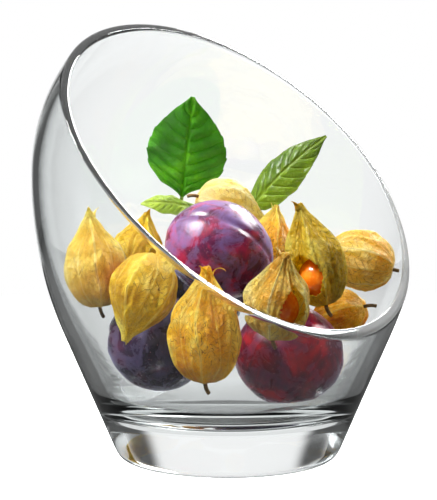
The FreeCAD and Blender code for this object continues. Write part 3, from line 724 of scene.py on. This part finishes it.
def build_leaf(node, base, tip, facing, half_width, fold, bow, teeth, quilt, material):
    """A toothed blade that puffs up between its veins. fold droops its sides and bow its length."""
    rows, columns = 150, 81
    smoothing = 6   # rows on each side over which the outline is averaged
    base, tip, facing = Vector(base), Vector(tip), Vector(facing).normalized()
    along = tip - base
    length = along.length
    along.normalize()
    side = along.cross(facing).normalized()
    face = side.cross(along)
    vertices, uv, veins = [], [], []
    window = 2 * smoothing + 1
    spreads = np.convolve([leaf_spread(min(max(i, 0), rows - 1) / (rows - 1))
                           for i in range(-smoothing, rows + smoothing)],
                          np.ones(window) / window, mode="valid")
    for row in range(rows):
        share = row / (rows - 1)
        spread = spreads[row] * min(1.0, 0.25 + 6 * share)
        tooth = (share * teeth) % 1.0
        notch = 1 - 0.035 * (1 - tooth) * smooth_step(0.25, 0.4, share)
        for column in range(columns):
            w = 2 * column / (columns - 1) - 1
            half = spread * half_width * notch
            reach = share - 0.22 * abs(w) ** 1.25 * (1 - 0.35 * share)
            beat = (reach * SIDE_VEINS + (0.18 if w > 0 else 0.0)) % 1.0
            near = min(beat, 1 - beat)
            lateral = math.exp(-(near / 0.055) ** 2) * (1 - abs(w)) ** 0.35
            midrib = math.exp(-(abs(w) * half / 0.75) ** 2)
            vein = max(midrib, 0.8 * lateral)
            puff = quilt * (math.sin(math.pi * beat) ** 0.8 - 0.5) * (1 - abs(w) ** 3) * (1 - midrib)
            ripple = 0.35 * noise.noise(Vector((share * 7, w * 3, half_width)))
            cup = fold * spread * abs(w) ** 1.5
            edge_wave = 0.5 * math.sin(share * 19 + (1.5 if w > 0 else 0)) * abs(w) ** 3 * spread
            height = bow * 4 * share * (1 - share) - cup + puff + ripple + edge_wave - 0.5 * midrib
            point = base + along * (share * length) + side * (w * half) + face * height
            vertices.append(point)
            uv.append(((w + 1) / 2, share))
            veins.append(vein)
    faces = []
    for row in range(rows - 1):
        for column in range(columns - 1):
            corner = row * columns + column
            faces.append((corner, corner + 1, corner + columns + 1, corner + columns))
    piece = make_object(node + "_blade", vertices, faces, uv, {"vein": veins})
    thicken(piece, 0.35, 0)
    piece.data.materials.append(material)
    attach(piece, "basil")
    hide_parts(node)
    return piece


def leaf_material(name, deep, main, light, vein_colour, through):
    """Glossy blade, puffed between the veins, with light shining through it."""
    m = Shader(name)
    place = m.object_place()
    wide = m.noise(place, 55.0, 3.0)
    fine = m.noise(place, 900.0, 3.0)
    vein = m.layer("vein")
    net = m.span(m.cells(place, 1100.0), 0.0, 0.12, 1.0, 0.0)
    colour = m.ramp(m.total(m.product(wide, 0.8), m.product(fine, 0.2)),
                    [(0.34, deep), (0.52, main), (0.70, light)])
    colour = m.blend(m.product(net, 0.18), colour, vein_colour)
    colour = m.blend(m.product(vein, 0.55), colour, vein_colour)
    height = m.total(m.product(fine, 0.25), m.product(net, -0.25))
    puff = m.total(m.product(m.noise(place, 190.0, 2.0, 0.5), 2.2), m.product(vein, -1.1))
    normal = m.bump(m.total(height, puff), 0.9, 0.0010)
    face = m.add("ShaderNodeBsdfPrincipled", Base_Color=colour, Normal=normal,
                 Roughness=m.span(fine, 0.3, 0.7, 0.30, 0.46))
    m.set(face, Coat_Weight=0.35, Coat_Roughness=0.20)
    back = m.add("ShaderNodeBsdfTranslucent", Color=m.blend(0.5, colour, light), Normal=normal)
    return m.finish(m.mix(through, face, back))


def stem_material():
    """Soft green, a little streaky."""
    m = Shader("green_stem")
    place = m.object_place()
    tone = m.noise(place, 300.0, 3.0)
    colour = m.ramp(tone, [(0.3, rgb(70, 104, 26)), (0.7, rgb(134, 160, 60))])
    return m.finish(m.add("ShaderNodeBsdfPrincipled", Base_Color=colour, Roughness=0.4,
                          Normal=m.bump(tone, 0.3, 0.0003)))


def dress(node, material):
    """Gives a carried-over CAD node its material."""
    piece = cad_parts[node]
    piece.data.materials.clear()
    piece.data.materials.append(material)


# ------------------------------------------------------------------ the pieces
build_bowl()

purple = plum_material("plum_mottled", rgb(40, 10, 28), rgb(84, 16, 46), rgb(152, 26, 56),
                       rgb(118, 92, 150), 0.72, (0.0, 0.0, 0.0))
blue = plum_material("plum_blue", rgb(14, 8, 20), rgb(30, 14, 32), rgb(64, 22, 44),
                     rgb(84, 74, 110), 0.62, (0.3, 0.1, 0.2))
red = plum_material("plum_red", rgb(44, 2, 18), rgb(98, 4, 18), rgb(150, 8, 18),
                    rgb(104, 48, 88), 0.42, (0.7, 0.2, 0.5))
build_plum("plum_upper", "upper_plum", (-5.8, -1.2, 89.4), (0.76, -0.55, -0.42), 200, 24.5, 21.5, purple)
build_plum("plum_left", "lower_fruit", (-22.2, 20.6, 48.4), (-0.89, 0.46, 0.1), 40, 23.5, 21.5, blue)
build_plum("plum_right", "lower_fruit", (13.4, -24.2, 44.9), (0.66, -0.78, 0.1), 120, 24.0, 21.8, red)
build_plum("plum_rear", "lower_fruit", (13.0, 35.1, 70.6), (0.93, -0.37, -0.29), 10, 22.8, 20.0, blue)

straw = husk_material("husk_straw", rgb(255, 246, 160), rgb(252, 230, 104), rgb(224, 182, 52),
                      rgb(96, 60, 6))
amber = husk_material("husk_amber", rgb(255, 240, 110), rgb(254, 208, 40), rgb(216, 142, 8),
                      rgb(74, 36, 0))
olive = husk_material("husk_olive", rgb(255, 242, 110), rgb(248, 216, 40), rgb(208, 164, 8),
                      rgb(70, 44, 0))
cream = husk_material("husk_cream", rgb(255, 252, 204), rgb(254, 248, 168), rgb(250, 228, 112),
                      rgb(160, 118, 34))
peach = husk_material("husk_peach", rgb(255, 250, 176), rgb(254, 234, 116), rgb(244, 190, 56),
                      rgb(100, 56, 4))

# name, body, middle of the bulb, axis from stalk to tip, turn, radius, length, paper, and the rest
PHYSALIS = (
    ("front", "physalis_front", (-33.9, -29.2, 56.6), (-0.05, -0.09, 1), 8, 15.2, 44.0, amber,
     dict(tips=((40, 6, 1.9, 0.07), (190, 5, 1.5, 0.06), (300, 7, 2.4, 0.07)))),
    ("front_left", "physalis_front_left", (-46.1, -4.8, 72.0), (-0.355, 0.08, -0.932), 20, 14.8, 36.0, olive,
     dict(tips=((90, 3, 0.8, 0.05),))),
    ("far_left", "physalis_far_left", (-49.6, 28.0, 81.6), (-0.11, 0.02, 1), 30, 14.6, 41.0, straw,
     dict(tips=((210, 7, 1.6, 0.06), (330, 5, 1.2, 0.06)), glow=(250, 0.30, 34))),
    ("rear_left", "physalis_rear_left", (-23.0, 37.0, 88.3), (0.2, -0.15, 1), 50, 13.8, 33.0, olive,
     dict(tips=((200, 5, 1.2, 0.06),))),
    ("front_right", "physalis_front_right", (-16.4, -51.0, 68.6), (-0.1, -0.34, 0.93), 0, 14.2, 34.0,
     peach,
     dict(tears=((258, 0.20, 0.70, 24, 8),), tips=((120, 4, 1.4, 0.05), (250, 3, 1.0, 0.05)))),
    ("centre_right", "physalis_centre_right", (14.2, -39.2, 84.0), (-0.197, 0.157, 0.968), 15, 13.3, 43.0,
     olive,
     dict(tears=((185, 0.10, 0.52, 34, -10),), tips=((180, 6, 1.5, 0.06), (20, 3, 0.8, 0.05)))),
    ("far_right", "physalis_far_right", (43.4, -36.8, 84.8), (-0.58, 0.77, 0.25), 25, 14.6, 35.0, peach,
     dict(tips=((90, 3, 0.8, 0.05),))),
    ("low_right", "physalis_low_right", (46.2, -21.5, 60.9), (-0.31, 0.88, -0.3), 60, 12.0, 31.0, amber,
     dict()),
    ("top", "physalis_top", (25.0, 30.9, 110.4), (0.88, -0.32, -0.34), 5, 15.0, 38.0, cream,
     dict(crumple=0.5)),
    ("rear_right", "physalis_rear_right", (30.3, 7.9, 91.2), (0.27, 0.03, 0.96), 35, 13.0, 36.0, amber,
     dict(tips=((90, 3, 0.8, 0.05),))),
    ("rear_low", "lower_fruit", (40.7, 12.6, 47.4), (-0.04, 0.42, 0.6), 70, 12.5, 34.0, olive, dict()),
)
berry = berry_material()
stalk = stalk_material()
for number, (name, body, bulb, axis, turn, radius, length, paper, extra) in enumerate(PHYSALIS):
    build_husk(name, body, bulb, axis, turn, radius, length, paper, number + 1.0, **extra)
    dress("berry_" + name, berry)
    dress("stalk_" + name, stalk)

broad = leaf_material("leaf_deep", rgb(26, 84, 2), rgb(62, 142, 6), rgb(134, 204, 24),
                      rgb(104, 170, 30), 0.42)
olive_leaf = leaf_material("leaf_olive", rgb(70, 108, 10), rgb(122, 152, 22), rgb(166, 194, 44),
                           rgb(180, 200, 90), 0.38)
young = leaf_material("leaf_young", rgb(120, 152, 24), rgb(160, 188, 40), rgb(190, 212, 70),
                      rgb(206, 222, 120), 0.4)
build_leaf("basil_leaf_large", (16.8, 57.6, 117.4), (7.4, 35.8, 162.4), (-0.62, -0.78, 0.1), 20.0, 2.0, 0.5,
           9, 1.0, broad)
build_leaf("basil_leaf_right", (43.8, 38.0, 110.6), (63.1, 3.4, 145.6), (-0.56, -0.70, 0.45), 10.5, 3.5, 5.0,
           8, 0.7, olive_leaf)
build_leaf("basil_leaf_small", (18.6, 53.0, 112.2), (-3.7, 63.1, 113.6), (-0.5, -0.6, 0.6), 6.5, 1.5, 2.0,
           5, 0.4, young)
dress("basil_stem", stem_material())


# ------------------------------------------------------------------ floor, light, camera
FLOOR_GLOW = 0.62       # added straight from the camera
FLOOR_THROUGH = 0.70    # added where it is seen through the glass, behind the bowl
HIDDEN_FLOOR = 0.05     # brightness of the floor to every ray but the camera's
DARK_SCREEN = 0.10
GREY_FRONT = 0.22
SIDE_LIGHT = (0.12, 0.50)   # what the fruit gets from low and from straight above


def build_floor():
    """Floor that runs into the white behind it straight from the camera. To all other rays it is
    nearly black, but for a bright field behind the bowl that is seen through the glass."""
    size = 3000.0
    vertices = [(-size, -size, -0.2), (size, -size, -0.2), (size, size, -0.2), (-size, size, -0.2)]
    floor = make_object("studio_floor", vertices, [(0, 1, 2, 3)])
    m = Shader("floor_white")
    path = m.add("ShaderNodeLightPath")
    spot = m.add("ShaderNodeNewGeometry").outputs["Position"]
    pale = m.ramp(m.noise(m.object_place(), 6.0, 2.0),
                  [(0.3, (0.80, 0.80, 0.80, 1)), (0.7, (0.83, 0.83, 0.83, 1))])
    hidden = (HIDDEN_FLOOR, HIDDEN_FLOOR, HIDDEN_FLOOR, 1)
    matt = m.add("ShaderNodeBsdfDiffuse", Color=m.blend(path.outputs["Is Camera Ray"], hidden, pale))
    depth = m.vector("DOT_PRODUCT", spot, FORWARD)
    beside = m.math("ABSOLUTE", m.vector("DOT_PRODUCT", spot, ACROSS))
    swing = m.math("SUBTRACT", beside, m.product(depth, 0.5))
    streak = m.product(m.math("SUBTRACT", m.noise(m.object_place(), 55.0, 3.0, 0.6), 0.5), 0.05)
    behind = m.product(m.span(depth, -0.02, 0.10, 0.04, 1.0),
                       m.span(m.total(swing, streak), 0.0, 0.040, 1.0, 0.05))
    through = m.product(m.product(path.outputs["Is Transmission Ray"], FLOOR_THROUGH), behind)
    power = m.total(m.product(path.outputs["Is Camera Ray"], FLOOR_GLOW), through)
    glow = m.add("ShaderNodeEmission", Color=(1, 1, 1, 1), Strength=power)
    both = m.tree.nodes.new("ShaderNodeAddShader")
    m.tree.links.new(matt.outputs[0], both.inputs[0])
    m.tree.links.new(glow.outputs[0], both.inputs[1])
    floor.data.materials.append(m.finish(both))


def build_world():
    """Studio that is white to the camera. Seen through or mirrored in the glass it has dark upright
    screens at both sides, which draw the edges of the glass, and a grey front."""
    world = bpy.data.worlds.new("studio")
    bpy.context.scene.world = world
    world.use_nodes = True
    m = Shader.__new__(Shader)   # the same short calls, on the world's nodes
    m.tree = world.node_tree
    m.tree.nodes.clear()
    output = m.tree.nodes.new("ShaderNodeOutputWorld")
    way = m.add("ShaderNodeTexCoord").outputs["Generated"]
    axes = (FORWARD, ACROSS, (0.0, 0.0, 1.0))
    ahead, side, high = [m.vector("DOT_PRODUCT", way, axis) for axis in axes]
    screen = m.span(m.math("ABSOLUTE", side), 0.32, 0.50)
    right_end = m.product(m.span(side, 0.80, 0.90), m.span(high, 0.02, 0.20))
    screen = m.product(screen, m.math("SUBTRACT", 1.0, m.product(right_end, 0.75)))
    screen = m.product(screen, m.span(high, 0.42, 0.62, 1.0, 0.0))
    front = m.product(m.span(ahead, -0.45, 0.10, 1.0, 0.0), m.span(high, 0.35, 0.65, 1.0, 0.0))
    through = m.product(m.span(screen, 0.0, 1.0, 1.0, DARK_SCREEN), m.span(front, 0.0, 1.0, 1.0, GREY_FRONT))
    mirror_dark = m.product(m.span(ahead, 0.1, 0.5, 1.0, 0.0), m.span(high, 0.45, 0.75, 1.0, 0.0))
    mirror = m.product(through, m.span(mirror_dark, 0.0, 1.0, 1.0, 0.12))
    soft = m.span(high, -0.2, 1.0, *SIDE_LIGHT)
    path = m.add("ShaderNodeLightPath")

    def choose(flag, normal, other):
        node = m.add("ShaderNodeMix")
        m.put(node, 0, flag)
        m.put(node, 2, normal)
        m.put(node, 3, other)
        return node.outputs[0]

    level = choose(path.outputs["Is Diffuse Ray"], through, soft)
    mirrored = m.product(path.outputs["Is Glossy Ray"],
                         m.math("SUBTRACT", 1.0, path.outputs["Is Transmission Ray"]))
    level = choose(mirrored, level, mirror)
    level = choose(path.outputs["Is Camera Ray"], level, 1.0)
    light = m.add("ShaderNodeBackground", Color=(1, 1, 1, 1), Strength=level)
    m.tree.links.new(light.outputs[0], output.inputs[0])


def studio(right, ahead, up):
    """A place given by the camera's right, its level forward and up, in metres."""
    return Vector(FORWARD) * ahead + Vector(ACROSS) * right + Vector((0, 0, up))


def area_light(name, place, target, size, power):
    """A square lamp at place, facing target."""
    data = bpy.data.lights.new(name, "AREA")
    data.shape = "RECTANGLE"
    data.size = data.size_y = size
    data.energy = power
    lamp = bpy.data.objects.new(name, data)
    lamp.location = place
    lamp.rotation_euler = (Vector(target) - Vector(place)).to_track_quat("-Z", "Y").to_euler()
    bpy.context.scene.collection.objects.link(lamp)


def build_camera():
    """Level camera in front of the bowl's slanted mouth, turned so the slant is seen at an angle."""
    data = bpy.data.cameras.new("camera")
    camera = bpy.data.objects.new("camera", data)
    bpy.context.scene.collection.objects.link(camera)
    swing = math.radians(-38.61)
    distance = 0.3906
    camera.location = (math.sin(swing) * distance, -math.cos(swing) * distance, 0.0788)
    camera.rotation_euler = (math.pi / 2, 0, swing)
    data.sensor_width = 36.0
    data.lens = 64.8
    data.shift_x = -0.0186
    data.shift_y = 0.0497
    data.clip_start = 0.01
    bpy.context.scene.camera = camera


build_floor()
build_world()
area_light("key", studio(-0.75, -0.45, 1.05), (0, 0, 0.08), 0.42, 30)
area_light("back", studio(0.55, 0.75, 0.95), (0, 0, 0.08), 0.5, 24)
area_light("rim", studio(0.62, 0.10, 0.75), (0, 0, 0.10), 0.25, 5)
build_camera()
bpy.context.scene.view_settings.view_transform = "Standard"
